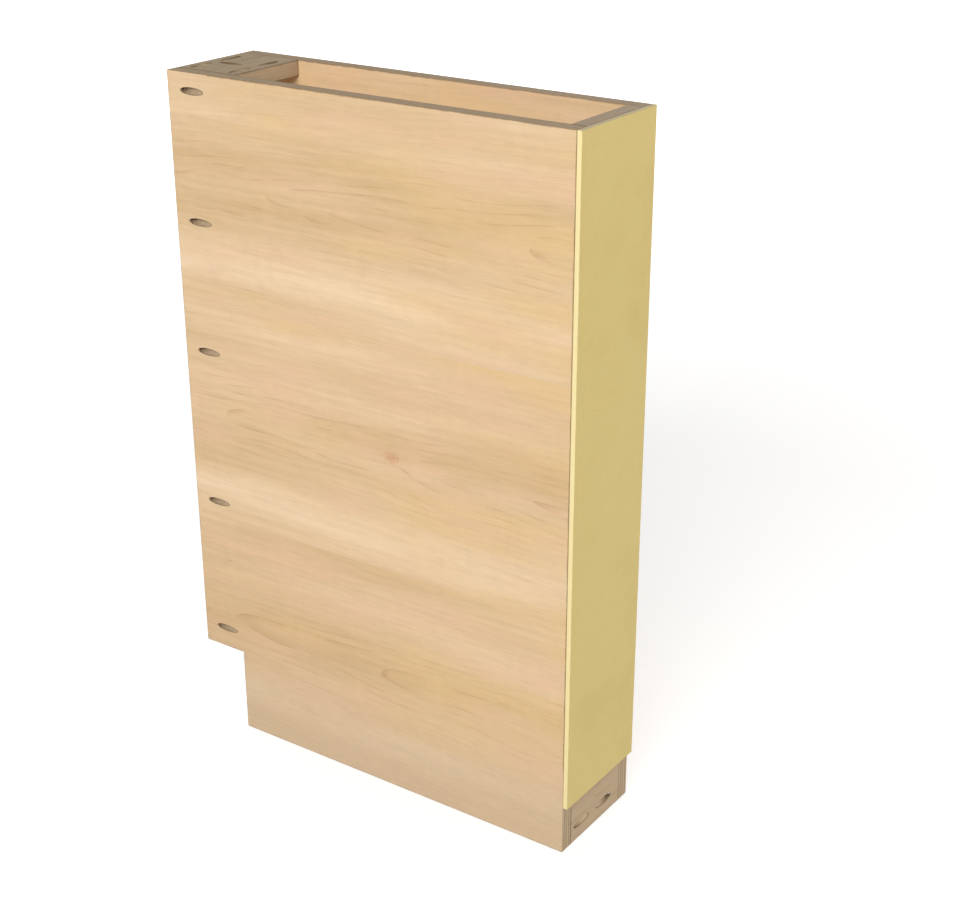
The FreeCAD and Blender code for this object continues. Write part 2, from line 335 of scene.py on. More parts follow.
class Steps:
    """A node tree written as a list of steps: each call adds a node and gives its output."""

    def __init__(self, tree):
        self.tree = tree

    def node(self, kind, inputs, **options):
        """A new node with these options, whose inputs are links or plain values."""
        node = self.tree.nodes.new(kind)
        for option, value in options.items():
            setattr(node, option, value)
        self.fill(node, inputs)
        return node

    def fill(self, node, inputs):
        """Feeds several inputs of a node."""
        for name, value in inputs.items():
            self.feed(node.inputs[name], value)

    def feed(self, socket, value):
        """Links an output to a socket, or writes a plain value on it."""
        if isinstance(value, bpy.types.NodeSocket):
            self.tree.links.new(value, socket)
        elif socket.type == "RGBA":
            socket.default_value = (*value, 1.0)
        else:
            socket.default_value = value

    def math(self, operation, *values):
        """One sum on numbers."""
        return self.node("ShaderNodeMath", dict(enumerate(values)), operation=operation).outputs[0]

    # Sums on two numbers, and first x second + third
    plus = partialmethod(math, "ADD")
    minus = partialmethod(math, "SUBTRACT")
    times = partialmethod(math, "MULTIPLY")
    over = partialmethod(math, "DIVIDE")
    times_plus = partialmethod(math, "MULTIPLY_ADD")

    def total(self, base, *terms):
        """base plus the sum of weight x (value - middle) over terms of value, middle and weight."""
        result = base
        for value, middle, weight in terms:
            result = self.times_plus(self.minus(value, middle), weight, result)
        return result

    def ease(self, value, start, end, low=0.0, high=1.0):
        """Smooth step from low to high as value goes from start to end."""
        inputs = {0: value, 1: start, 2: end, 3: low, 4: high}
        return self.node("ShaderNodeMapRange", inputs, interpolation_type="SMOOTHSTEP").outputs[0]

    def bump_at(self, value, centre, half_width):
        """A soft hill of height 1 round a centre."""
        distance = self.math("ABSOLUTE", self.minus(value, centre))
        return self.ease(distance, half_width, 0.0)

    def least(self, *values):
        """The smallest of several values."""
        return reduce(partial(self.math, "MINIMUM"), values)

    def most(self, *values):
        """The largest of several values."""
        return reduce(partial(self.math, "MAXIMUM"), values)

    def nearer_end(self, value, size):
        """Distance to the nearer of two ends, at 0 and at size."""
        return self.least(value, self.minus(size, value))

    def point(self, x, y, z):
        """A vector of three numbers."""
        return self.node("ShaderNodeCombineXYZ", {0: x, 1: y, 2: z}).outputs[0]

    def flat_length(self, x, y):
        """Length of a flat vector."""
        point = self.point(x, y, 0.0)
        return self.node("ShaderNodeVectorMath", {0: point}, operation="LENGTH").outputs["Value"]

    def parts(self, vector):
        """The three numbers of a vector."""
        return self.node("ShaderNodeSeparateXYZ", {0: vector}).outputs

    def noise(self, vector, size, detail=2.0):
        """Soft noise from 0 to 1 with features of about this size."""
        inputs = {"Vector": vector, "Scale": 1.0 / size, "Detail": detail, "Roughness": 0.55}
        return self.node("ShaderNodeTexNoise", inputs).outputs[0]

    def own_number(self, value):
        """A scattered number from 0 to 1 for each value, the same each time."""
        return self.node("ShaderNodeTexWhiteNoise", {"W": value}, noise_dimensions="1D").outputs[0]

    def mix(self, factor, first, second):
        """A colour between two."""
        inputs = {0: factor, 6: first, 7: second}
        return self.node("ShaderNodeMix", inputs, data_type="RGBA", clamp_factor=True).outputs[2]

    def shade(self, tint, level):
        """A colour made lighter or darker by a level round 1."""
        return self.node("ShaderNodeVectorMath", {0: tint, "Scale": level}, operation="SCALE").outputs[0]

    def place(self):
        """Object coordinates, as three outputs."""
        return self.parts(self.node("ShaderNodeTexCoord", {}).outputs["Object"])

    def place_from(self, corner):
        """Object coordinates measured from a corner, as three outputs."""
        return [self.minus(value, start) for value, start in zip(self.place(), corner)]

    def facing(self, *axes):
        """How squarely the surface faces each of these axes, from 0 to 1."""
        normal = self.parts(self.node("ShaderNodeNewGeometry", {}).outputs["Normal"])
        return [self.math("ABSOLUTE", normal[axis]) for axis in axes]


def shared_group(fill):
    """Turns a function that fills a node group into one that adds that group, built once, to the given steps.

    The function's further parameters name the group's inputs, and the keys of its result name the outputs.
    """
    name = fill.__name__.replace("_", " ").capitalize()
    inputs = [label.replace("_", " ").title() for label in list(signature(fill).parameters)[1:]]

    @wraps(fill)
    def added(steps, *values):
        tree = bpy.data.node_groups.get(name)
        if tree is None:
            tree = bpy.data.node_groups.new(name, "ShaderNodeTree")
            for label in inputs:
                tree.interface.new_socket(label, in_out="INPUT", socket_type="NodeSocketFloat")
            inside = Steps(tree)
            given = tree.nodes.new("NodeGroupInput").outputs
            results = fill(inside, *given[: len(inputs)])
            for label in results:
                tree.interface.new_socket(label, in_out="OUTPUT", socket_type="NodeSocketFloat")
            inside.node("NodeGroupOutput", results)
        return steps.node("ShaderNodeGroup", dict(zip(inputs, values, strict=True)), node_tree=tree).outputs

    return added


@shared_group
def wood_figure(steps, along, across, depth, leaf, ring, taper, wander, seed):
    """Growth figure on a cut through a tree.

    Rings are slim cones round a heart line, so a cut beside it shows nested tongues: ring count = (distance
    from the heart line - taper x place along it + wander) / ring spacing. Late wood is the dark end of each
    ring, a high power of the count's fraction, and it comes and goes in patches near the heart. Bands,
    streaks, clouds, fibres, pores and curl are noise stretched along or across the grain. Leaves repeat
    across the sheet, each from a place of its own in the noise.
    """
    leaf_number = steps.math("ROUND", steps.over(across, leaf))
    local = steps.minus(across, steps.times(leaf_number, leaf))
    own = steps.times_plus(leaf_number, LEAF_STEP, seed)

    grain = {}
    for label, (long, wide, shift, detail) in GRAIN.items():
        x = steps.times_plus(along, 1.0 / (long * MM), steps.plus(own, shift))
        y = steps.times(across, 1.0 / (wide * MM))
        z = steps.times_plus(depth, 1.0 / (wide * MM), own)
        grain[label] = steps.noise(steps.point(x, y, z), 1.0, detail)

    dip = steps.times_plus(grain.pop("dip"), wander, depth)
    heart = steps.math("SQRT", steps.times_plus(dip, dip, steps.times(local, local)))
    waver = steps.times(steps.minus(grain.pop("waver"), 0.5), wander)
    reach = steps.minus(steps.plus(heart, waver), steps.times(along, taper))
    rings = steps.plus(steps.over(reach, ring), steps.times(own, RING_STEP))
    near_heart = steps.ease(steps.math("ABSOLUTE", local), 20 * MM, 75 * MM, 1.0, 0.3)
    patch = steps.times(steps.ease(grain.pop("late patches"), 0.42, 0.64), near_heart)
    curly = steps.ease(grain.pop("curly patches"), 0.45, 0.65)
    return {
        **grain,
        "Pore": steps.ease(grain["Pore"], 0.58, 0.74),
        "Curl": steps.times(steps.minus(grain["Curl"], 0.5), curly),
        "Late": steps.times(steps.math("POWER", steps.math("FRACT", rings), 7.0), patch),
        "Tone": steps.own_number(steps.math("FLOOR", rings)),
        "Local": local,
    }


@shared_group
def cross_bonding(steps, through, thickness, veneer, layers, facing_along, facing_across):
    """Layers inside a plywood sheet.

    Layer number = whole part of (distance from one face - veneer) / layer thickness. Even layers run across
    the face grain and odd ones along it, so a sawn edge shows them end on by turns.
    """
    core = steps.times_plus(veneer, -2.0, thickness)
    count = steps.times(steps.over(steps.minus(through, veneer), core), layers)
    number = steps.math("FLOOR", count)
    along_share = steps.math("FLOORED_MODULO", number, 2.0)
    across_share = steps.minus(1.0, along_share)
    end = steps.times(facing_along, along_share)
    end = steps.times_plus(facing_across, across_share, end)
    near_joint = steps.math("ABSOLUTE", steps.minus(steps.math("FRACT", count), 0.5))
    low_face = steps.math("LESS_THAN", through, veneer)
    high_face = steps.math("GREATER_THAN", through, steps.minus(thickness, veneer))
    return {
        "Face": steps.most(low_face, high_face),
        "End": end,
        "Glue": steps.ease(near_joint, 0.44, 0.5),
        "Tone": steps.own_number(number),
    }


@shared_group
def pin_knot(steps, along, across, centre_along, centre_across, oval_length, oval_height):
    """A knot's mask: 1 inside an oval, ragged by noise, and 0 outside."""
    x = steps.minus(along, centre_along)
    y = steps.minus(across, centre_across)
    ragged = steps.noise(steps.point(x, y, 0.0), 4 * MM)
    distance = steps.flat_length(steps.over(x, oval_length), steps.over(y, oval_height))
    return {"Mask": steps.ease(steps.total(distance, (ragged, 0.5, 0.9)), 0.55, 0.1)}


@shared_group
def mottling(steps, x, y, z, cloud_size, fleck_size):
    """Soft uneven finish: broad clouds and fine flecks of the given sizes, both noise from 0 to 1."""
    point = steps.point(x, y, z)
    results = {}
    for label, size in (("Cloud", cloud_size), ("Fleck", fleck_size)):
        inputs = {"Vector": point, "Scale": steps.over(1.0, size), "Detail": 3.0, "Roughness": 0.6}
        results[label] = steps.node("ShaderNodeTexNoise", inputs).outputs[0]
    return results


@shared_group
def edge_wear(steps, x, y, z, size_x, size_y, size_z, width):
    """Handled arrises and pocket mouths of a squared piece, darkened partly by handling and partly as painted
    shade in the grooves: a mask that fades from them over a ragged width.

    Along each axis, depth is the distance to the nearer end of the piece. On a face the smallest of the
    three depths is nothing, so the middle one, which is their sum - smallest - largest, is the distance to
    an arris. On the wall of a pocket the smallest is the depth below the mouth.
    """
    depths = [steps.nearer_end(*pair) for pair in ((x, size_x), (y, size_y), (z, size_z))]
    smallest = steps.least(*depths)
    middle = steps.minus(reduce(steps.plus, depths), steps.plus(smallest, steps.most(*depths)))
    ragged = steps.noise(steps.point(x, y, z), 14 * MM, 3.0)
    width = steps.times(width, steps.total(1.0, (ragged, 0.5, 2.0)))
    below_face = steps.ease(smallest, 0.04 * MM, 0.1 * MM)
    near_mouth = steps.ease(smallest, steps.times(width, 0.7), 0.0)
    return {"Mask": steps.most(steps.ease(middle, width, 0.0), steps.times(below_face, near_mouth))}


# Materials


def open_material(name):
    """A new material: itself, its steps and its surface shader."""
    material = bpy.data.materials.new(name)
    material.use_nodes = True
    return material, Steps(material.node_tree), material.node_tree.nodes["Principled BSDF"]


def open_piece(piece, kind):
    """A new material for a piece of the frame, then the place from the piece's low corner, and its size."""
    low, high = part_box(piece)
    material, steps, surface = open_material(f"{piece}_{kind}")
    return material, steps, surface, steps.place_from(low), high - low


def finish_surface(steps, surface, tint, roughness, height, depth, sheen=0.5):
    """Feeds the surface shader: its colour, roughness, gloss and a bump of this depth in metres."""
    bump = steps.node("ShaderNodeBump", {"Strength": 1.0, "Distance": depth, "Height": height}).outputs[0]
    inputs = {"Base Color": tint, "Roughness": roughness, "Normal": bump, "Specular IOR Level": sheen}
    steps.fill(surface, inputs)


def veneer_tint(steps, figure, along, plywood):
    """Colour of a veneer leaf: a darker heart, a pale band of sapwood below it, streaks and warmer clouds."""
    sap = steps.bump_at(figure["Local"], -plywood.sap_offset, plywood.sap_reach)
    heart = steps.bump_at(figure["Local"], 0.0, plywood.heart_reach)
    pale = steps.total(0.42, (sap, 0.0, 0.4), (heart, 0.0, -0.18))
    pale = steps.total(pale, (figure["Band"], 0.5, 1.08), (figure["Streak"], 0.5, 0.6))
    tint = steps.mix(pale, plywood.heartwood, plywood.sapwood)
    hue = steps.total(figure["Hue"], (along, 0.28, 0.35))
    tint = steps.mix(steps.ease(hue, 0.45, 0.75, 0.0, 0.72), tint, plywood.honey)
    return steps.mix(steps.ease(figure["Blush"], 0.46, 0.72, 0.0, 0.6), tint, plywood.blush)


def grain_level(steps, figure, strength):
    """Light and dark of the fine grain, round 1."""
    return steps.total(
        1.0,
        (figure["Fibre"], 0.5, 0.16 * strength),
        (figure["Mottle"], 0.5, 0.085 * strength),
        (figure["Pore"], 0.0, -0.07 * strength),
        (figure["Curl"], 0.0, 0.075 * strength),
        (figure["Tone"], 0.5, 0.025 * strength),
    )


def plywood_material(piece, along, across, through, heart, foot=0.0, knots=(), notch=(0.0, 0.0)):
    """Plywood of one piece, with its face grain along one axis.

    Its two faces carry different leaves. Past the veneer, the sawn edges and drilled pockets show the layers.
    Knots lie on the outer face, at a place and size given in metres. A notch of this length and height is cut
    from the piece's low corner, and its arrises are darkened as the others are, partly by handling and partly
    as painted shade.
    """
    plywood = settings().plywood
    material, steps, surface, place, size = open_piece(piece, "plywood")
    outer = steps.math("GREATER_THAN", place[through], size[through] / 2)
    seed = steps.times_plus(outer, FACE_STEP, PLYWOOD_SEEDS[piece])
    from_heart = steps.minus(place[across], heart)
    growth = (plywood.leaf, plywood.ring, plywood.taper, plywood.wander)
    figure = wood_figure(steps, place[along], from_heart, plywood.cut, *growth, seed)
    tint = veneer_tint(steps, figure, place[along], plywood)
    if foot:
        tint = steps.mix(steps.ease(place[across], foot, 0.0, 0.0, 0.85), tint, plywood.foot)
    tint = steps.mix(steps.times(figure["Late"], plywood.figure), tint, plywood.late_wood)
    for *shape, strength in knots:
        mask = pin_knot(steps, place[along], place[across], *shape)["Mask"]
        mask = steps.times(steps.times(mask, outer), strength)
        tint = steps.mix(mask, tint, plywood.knot)
    tint = steps.shade(tint, grain_level(steps, figure, 1.0))

    sheet = (size[through], plywood.veneer, plywood.layers)
    end_on, side_on = steps.facing(along, across)
    layers = cross_bonding(steps, place[through], *sheet, end_on, side_on)
    streak_sizes = [0.5 * MM if axis == through else 14 * MM for axis in (X, Y, Z)]
    streak = steps.noise(steps.point(*map(steps.over, place, streak_sizes)), 1.0, 3.0)
    edge = steps.mix(layers["End"], plywood.side_layer, plywood.end_layer)
    edge = steps.mix(steps.times(layers["Glue"], 0.55), edge, plywood.glue)
    level = steps.total(1.0, (streak, 0.5, 0.35), (layers["Tone"], 0.5, 0.12), (end_on, 0.0, -0.1))
    edge = steps.shade(edge, level)

    from_edge = list(place)
    beside_notch = steps.math("LESS_THAN", place[across], notch[1])
    above_notch = steps.math("LESS_THAN", place[along], notch[0])
    from_edge[along] = steps.times_plus(beside_notch, -notch[0], place[along])
    from_edge[across] = steps.times_plus(above_notch, -notch[1], place[across])
    # Darkened arrises and pocket mouths: partly handling marks, partly painted shade in the grooves
    worn = edge_wear(steps, *from_edge, *size, plywood.wear)["Mask"]
    tint = steps.mix(layers["Face"], edge, tint)
    tint = steps.mix(steps.times(worn, plywood.worn_share), tint, plywood.worn)
    face_height = steps.total(0.5, (figure["Fibre"], 0.5, 0.8), (figure["Pore"], 0.0, -0.4))
    roughness = steps.total(0.58, (figure["Fibre"], 0.5, 0.25), (figure["Late"], 0.0, -0.08))
    roughness = steps.total(roughness, (worn, 0.0, -0.12), (layers["Face"], 1.0, -0.18))
    height = steps.total(face_height, (streak, 0.5, 0.6))
    finish_surface(steps, surface, tint, roughness, height, 0.12 * MM, plywood.sheen)
    return material


def board_material(piece, across, through, seed, late_share):
    """Solid board of one piece, sawn along X, with its rings curved round a heart below its face.

    Between the dark lines, late wood colours it by late_share on average.
    """
    boards = settings().boards
    material, steps, surface, place, size = open_piece(piece, "board")
    from_heart = steps.minus(place[across], size[across] * boards.heart_across)
    depth = steps.plus(place[through], boards.heart)
    growth = (WHOLE_BOARD, boards.ring, boards.taper, boards.wander)
    figure = wood_figure(steps, place[X], from_heart, depth, *growth, seed)
    from_end, *depths = [steps.nearer_end(place[axis], size[axis]) for axis in (X, across, through)]
    drilled = steps.ease(steps.least(*depths), 0.25 * MM, 0.6 * MM)
    ring_share = steps.total(late_share, (figure["Late"], 0.0, 0.8), (figure["Band"], 0.5, 0.9))
    tint = steps.mix(ring_share, boards.early_wood, boards.late_wood)
    tint = steps.mix(drilled, tint, boards.drilled)
    tint = steps.shade(tint, grain_level(steps, figure, 1.2))
    end_on, = steps.facing(X)
    tint = steps.mix(steps.ease(end_on, 0.35, 1.0), tint, boards.end_grain)
    # Darkened arrises and pocket mouths: partly handling marks, partly painted shade in the grooves
    worn = edge_wear(steps, *place, *size, boards.wear)["Mask"]
    tint = steps.mix(steps.times(worn, boards.worn_share), tint, boards.worn)
    # Dark line at each board's end: partly dirt in the joint, partly painted shade of the joint gap
    seam = steps.ease(from_end, boards.seam_width, 0.3 * MM, 0.0, boards.seam_share)
    tint = steps.mix(seam, tint, boards.seam)
    height = steps.total(0.5, (figure["Fibre"], 0.5, 0.9), (figure["Pore"], 0.0, -0.4))
    roughness = steps.total(0.64, (figure["Fibre"], 0.5, 0.25), (figure["Late"], 0.0, -0.1))
    roughness = steps.total(roughness, (drilled, 0.0, 0.15), (worn, 0.0, -0.12))
    finish_surface(steps, surface, tint, roughness, height, 0.14 * MM, boards.sheen)
    return material


def back_material(piece):
    """Pressed fibre sheet: clouded straw colour with pale and dark flecks, sawn edges painted lighter as lit,
    and edges that face up or down painted darker as shade.
    """
    back = settings().back
    material, steps, surface, place, size = open_piece(piece, "fibre_sheet")
    x, y, z = steps.place()
    fine = mottling(steps, x, y, z, 110 * MM, back.fibre)
    coarse = mottling(steps, z, x, y, 18 * MM, 3.5 * back.fibre)
    tint = steps.mix(steps.ease(fine["Cloud"], 0.4, 0.7, 0.0, 0.5), back.face, back.shadow)
    tint = steps.mix(steps.ease(coarse["Fleck"], 0.56, 0.72, 0.0, 0.5), tint, back.shadow)
    tint = steps.mix(steps.ease(fine["Fleck"], 0.56, 0.72, 0.0, 0.55), tint, back.straw)
    tint = steps.shade(tint, steps.total(1.0, (coarse["Cloud"], 0.5, 0.06)))
    face_on, top_on = steps.facing(Y, Z)
    edge = steps.minus(1.0, face_on)
    # Sawn edges painted lighter than the face: painted light
    tint = steps.mix(steps.ease(edge, 0.3, 0.9), tint, back.edge)
    # Edges that face up or down painted darker: painted shade
    tint = steps.mix(steps.ease(top_on, 0.3, 0.9), tint, back.top_edge)
    # Darkened arrises: partly handling marks, partly painted shade in the grooves
    worn = edge_wear(steps, *place, *size, back.wear)["Mask"]
    tint = steps.mix(steps.times(worn, back.worn_share), tint, back.worn)
    height = steps.total(0.5, (fine["Fleck"], 0.5, 0.6), (coarse["Fleck"], 0.5, 0.5))
    roughness = steps.total(0.5, (fine["Fleck"], 0.5, 0.2), (edge, 0.0, 0.25))
    finish_surface(steps, surface, tint, roughness, height, 0.08 * MM, back.sheen)
    return material


def zinc_material():
    """Plated screw steel: bright, with dull clouds and fine scuffs."""
    screws = settings().screws
    material, steps, surface = open_material("zinc_plating")
    mottle = mottling(steps, *steps.place(), 3.5 * MM, 0.4 * MM)
    tint = steps.mix(steps.ease(mottle["Cloud"], 0.4, 0.68), screws.zinc, screws.dull_zinc)
    roughness = steps.total(0.34, (mottle["Cloud"], 0.5, 0.3), (mottle["Fleck"], 0.5, 0.25))
    surface.inputs["Metallic"].default_value = 1.0
    finish_surface(steps, surface, tint, roughness, mottle["Fleck"], 0.02 * MM)
    return material


def brad_material():
    """Brad wire with a painted head, worn to the steel in small flecks."""
    brads = settings().brads
    material, steps, surface = open_material("brad_wire")
    place = steps.place()
    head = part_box("back_panel")[1].y - brads.head_thickness
    mottle = mottling(steps, *place, 2.0 * MM, 0.3 * MM)
    painted = steps.math("GREATER_THAN", place[Y], head + 0.3 * MM)
    painted = steps.times(painted, steps.ease(mottle["Fleck"], 0.74, 0.66))
    wire = steps.shade(brads.steel, steps.total(1.0, (mottle["Cloud"], 0.5, 0.5)))
    tint = steps.mix(painted, wire, brads.paint)
    roughness = steps.total(0.4, (mottle["Fleck"], 0.5, 0.3), (painted, 0.0, 0.15))
    steps.feed(surface.inputs["Metallic"], steps.minus(1.0, painted))
    finish_surface(steps, surface, tint, roughness, mottle["Fleck"], 0.02 * MM)
    return material


def dress(piece, material):
    """Puts a material on a piece of the frame."""
    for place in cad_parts[piece].material_slots:
        place.material = material


# Fasteners


def placed(name, data):
    """A new object in the scene."""
    item = bpy.data.objects.new(name, data)
    bpy.context.scene.collection.objects.link(item)
    return item


def node_points(node):
    """Vertices of a piece of the frame, in metres."""
    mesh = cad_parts[node].data
    points = np.empty(3 * len(mesh.vertices))
    mesh.vertices.foreach_get("co", points)
    return points.reshape(-1, 3)


def clumps(points, direction, gap):
    """Points split into clumps that stand further apart than gap along a direction."""
    reach = points @ direction
    order = np.argsort(reach)
    breaks = np.flatnonzero(np.diff(reach[order]) > gap) + 1
    return np.split(points[order], breaks)


def turned_span(points, axis):
    """A turned shape's point on its axis at the top, and its length along the axis."""
    heights = points @ axis
    flat = points - np.outer(heights, axis)
    centre = (flat.min(axis=0) + flat.max(axis=0)) / 2
    return centre + heights.max() * axis, np.ptp(heights)


def square_radius(turn, half, corner):
    """Radius of a rounded square at an angle: half / (|cos|^n + |sin|^n)^(1/n), with n for its corners."""
    return half / (np.abs(np.cos(turn)) ** corner + np.abs(np.sin(turn)) ** corner) ** (1 / corner)


def screw_surface(screws, shank_length, turn):
    """Heights (rows) and radii (rows x columns) of a pocket screw, from its point up to its drive.

    The thread is a ridge on the core: radius = core + (shank - core) x ridge, where ridge falls linearly to 0
    on both sides of height / pitch - angle / full turn = a whole number. It fades into the smooth shank and
    shrinks to the point. Above the seat, rows trace a rounded washer and head and go down a square recess.
    """
    per_turn = 9
    half_ridge = 0.24
    rows = int(shank_length / screws.pitch * per_turn)
    shank = np.linspace(-shank_length, 0.0, rows)[:, None]
    phase = np.mod(shank / screws.pitch - turn / (2 * pi), 1.0)
    ridge = np.clip(1.0 - np.abs(phase - 0.5) / half_ridge, 0.0, 1.0)
    smooth = np.clip((shank + screws.smooth_length) / screws.pitch + 1.0, 0.0, 1.0)
    threaded = screws.core_radius + (screws.shank_radius - screws.core_radius) * ridge
    point = np.clip((shank + shank_length) / screws.point_length, BLUNT, 1.0)
    shank_radii = point * (threaded + (screws.shank_radius - threaded) * smooth)

    rim = screws.washer_thickness * 0.25
    bend = np.linspace(0.0, pi / 2, 5)
    washer = screws.washer_radius - rim
    lower = (washer + rim * np.sin(bend), rim - rim * np.cos(bend))
    upper = (washer + rim * np.cos(bend), screws.washer_thickness - rim + rim * np.sin(bend))
    half = screws.drive / 2
    flat = half * 1.6
    crown = screws.head_radius - flat
    head_edge = screws.washer_thickness + 0.45 * (screws.head_height - screws.washer_thickness)
    foot_heights = np.array([screws.washer_thickness, screws.washer_thickness + rim])
    head_foot = (np.array([screws.head_radius + rim, screws.head_radius]), foot_heights)
    dome = (flat + crown * np.cos(bend), head_edge + (screws.head_height - head_edge) * np.sin(bend))
    outline_radii, outline_heights = np.concatenate([lower, upper, head_foot, dome], axis=1)

    recess = square_radius(turn, half, 12)
    floor = screws.head_height - screws.drive_depth
    chamfer = 0.1 * MM
    recess_heights = np.array([screws.head_height, screws.head_height - chamfer, floor, floor - chamfer])
    recess_radii = np.outer([1.06, 1.0, 0.94, 0.4], recess)

    heights = np.concatenate([shank[:, 0], outline_heights, recess_heights])
    outline_radii = np.repeat(outline_radii[:, None], turn.size, axis=1)
    return heights, np.concatenate([shank_radii, outline_radii, recess_radii])


def brad_surface(brads, brad_length, head_radius, turn):
    """Heights (rows) and radii (rows x columns) of a brad, from its four-sided point up to its head.

    The point is a square section that grows from nothing into the round wire. Grip rings are a sine on the
    wire's radius, and the head has eased edges and a slightly crowned top.
    """
    point_share = np.linspace(BLUNT, 1.0, 6)[:, None]
    square = square_radius(turn, brads.shank_radius * 0.8, 10)
    point_radii = point_share * ((1 - point_share) * square + point_share * brads.shank_radius)
    point_heights = brads.point_length * point_share[:, 0] - brad_length

    neck = -brads.head_thickness
    rings = 12
    grip = np.linspace(0.0, 1.0, 25)[:, None]
    grip_radii = brads.shank_radius + brads.grip_depth * np.sin(pi * rings * grip) ** 2 * np.ones_like(turn)
    grip_heights = neck - brads.grip_length * (1 - grip[:, 0])

    ease = brads.head_thickness * 0.15
    crown = np.linspace(1.0, 0.2, 5)
    rim = head_radius - ease
    head_radii = np.concatenate([[rim, head_radius, head_radius], rim * crown])
    head_heights = np.concatenate([[neck, neck + ease, -ease], -0.3 * ease * crown**2])
    head_radii = np.repeat(head_radii[:, None], turn.size, axis=1)
    heights = np.concatenate([point_heights, grip_heights, head_heights])
    return heights, np.concatenate([point_radii, grip_radii, head_radii])


def turned_points(top, axis, heights, radii, turn):
    """Points of a turned surface, and then its two poles.

    Point = top + height x axis + radius x (cos x side + sin x other side).
    """
    axis = Vector(axis)
    side = axis.orthogonal().normalized()
    other = axis.cross(side)
    ring = np.outer(np.cos(turn), side) + np.outer(np.sin(turn), other)
    middle = np.asarray(top) + np.outer(heights, axis)
    surface = middle[:, None, :] + radii[:, :, None] * ring
    return np.concatenate([surface.reshape(-1, 3), middle[[0, -1]]])


def turned_faces(rows, columns):
    """Quads between neighbouring rows, closed round the axis, and triangles from end rows to poles."""
    column = np.arange(columns)
    after = (column + 1) % columns
    first = np.arange(rows - 1)[:, None] * columns
    above = first + columns
    quads = np.stack([first + column, first + after, above + after, above + column], axis=-1)
    last = (rows - 1) * columns
    poles = np.full(columns, rows * columns)
    start = np.stack([poles, after, column], axis=-1)
    end = np.stack([poles + 1, last + column, last + after], axis=-1)
    return quads.reshape(-1, 4), np.concatenate([start, end])


def fastener_piece(name, shapes, size, material, node, slot):
    """One piece of several like fasteners, in the place of a piece of the frame."""
    quads, triangles = turned_faces(*size)
    starts = np.arange(len(shapes))[:, None, None] * len(shapes[0])
    faces = (starts + quads).reshape(-1, 4).tolist() + (starts + triangles).reshape(-1, 3).tolist()
    mesh = bpy.data.meshes.new(name)
    mesh.from_pydata(np.concatenate(shapes), [], faces)
    mesh.shade_smooth()
    mesh.set_sharp_from_angle(angle=SHARP_ANGLE)
    mesh.materials.append(material)
    mesh.validate()
    piece = placed(name, mesh)
    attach(piece, BODY)
    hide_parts(node)


# Stage


def heading(azimuth, elevation):
    """Direction from the cabinet to a place round it: azimuth 0 is its front and a quarter turn its right."""
    return Vector((sin(azimuth) * cos(elevation), -cos(azimuth) * cos(elevation), sin(elevation)))


def aimed(name, data, place, away):
    """A new lamp or camera at a place, which looks against a direction."""
    item = placed(name, data)
    item.location = place
    item.rotation_euler = (-away).to_track_quat("-Z", "Y").to_euler()
    return item


def soft_lamp(name, azimuth, elevation, level, height):
    """A wide lamp aimed at the cabinet's middle, where power = level x pi^2 x distance^2 gives its level."""
    low, high = CAD_BOX
    middle = (low + high) / 2
    away = heading(azimuth, elevation)
    data = bpy.data.lights.new(name, "AREA")
    data.shape = "RECTANGLE"
    data.size = LAMP_WIDTH
    data.size_y = height
    data.energy = level * pi**2 * LAMP_DISTANCE**2
    lamp = aimed(name, data, middle + away * LAMP_DISTANCE, away)
    lamp.visible_camera = False


def seen_rays(steps):
    """1 for rays that show the background: those of the camera, of gloss and of glass."""
    rays = steps.node("ShaderNodeLightPath", {}).outputs
    return steps.most(rays["Is Camera Ray"], rays["Is Glossy Ray"], rays["Is Transmission Ray"])


def floor_material():
    """Pale paper floor that keeps shadows, lifted to white where it is seen, and plain white far away."""
    stage = settings().stage
    material, steps, surface = open_material("floor_paper")
    place = steps.place()
    mottle = mottling(steps, *place, 0.8, 0.01)
    tint = steps.shade(stage.floor, steps.total(1.0, (mottle["Cloud"], 0.5, 0.02)))
    glow = steps.ease(steps.flat_length(place[X], place[Y]), *FLOOR_FADE, stage.floor_glow, 1.0)
    steps.fill(surface, {
        "Base Color": tint,
        "Roughness": 0.95,
        "Specular IOR Level": 0.0,
        "Emission Color": (1.0, 1.0, 1.0),
        "Emission Strength": steps.times(seen_rays(steps), glow),
    })
    return material


def make_floor():
    """A flat square sheet just below the cabinet's feet: an even grid of x and y at one height."""
    reach = np.linspace(-FLOOR_REACH, FLOOR_REACH, FLOOR_CELLS + 1)
    x, y = np.meshgrid(reach, reach)
    points = np.stack([x, y, np.full_like(x, -FLOOR_DROP)], axis=-1).reshape(-1, 3)
    cell = np.arange(FLOOR_CELLS)
    first = cell[:, None] * reach.size + cell
    above = first + reach.size
    faces = np.stack([first, first + 1, above + 1, above], axis=-1).reshape(-1, 4)
    mesh = bpy.data.meshes.new("floor")
    mesh.from_pydata(points, [], faces.tolist())
    mesh.materials.append(floor_material())
    floor = placed("floor", mesh)
    floor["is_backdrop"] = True


def make_world():
    """White surroundings where they are seen, and a low even light elsewhere."""
    stage = settings().stage
    world = bpy.data.worlds.new("studio")
    world.use_nodes = True
    steps = Steps(world.node_tree)
    light = world.node_tree.nodes["Background"]
    level = steps.ease(seen_rays(steps), 0.0, 1.0, stage.ambient, 1.0)
    steps.fill(light, {"Color": (1.0, 1.0, 1.0), "Strength": level})
    bpy.context.scene.world = world


def make_camera():
    """The camera, with the picture's width on its sensor."""
    stage = settings().stage
    data = bpy.data.cameras.new("camera")
    data.lens = stage.lens
    data.sensor_fit = "HORIZONTAL"
    data.sensor_width = 36.0
    data.clip_end = 200.0
    away = heading(stage.camera_azimuth, stage.camera_elevation)
    bpy.context.scene.camera = aimed("camera", data, stage.camera_place, away)


# Operators


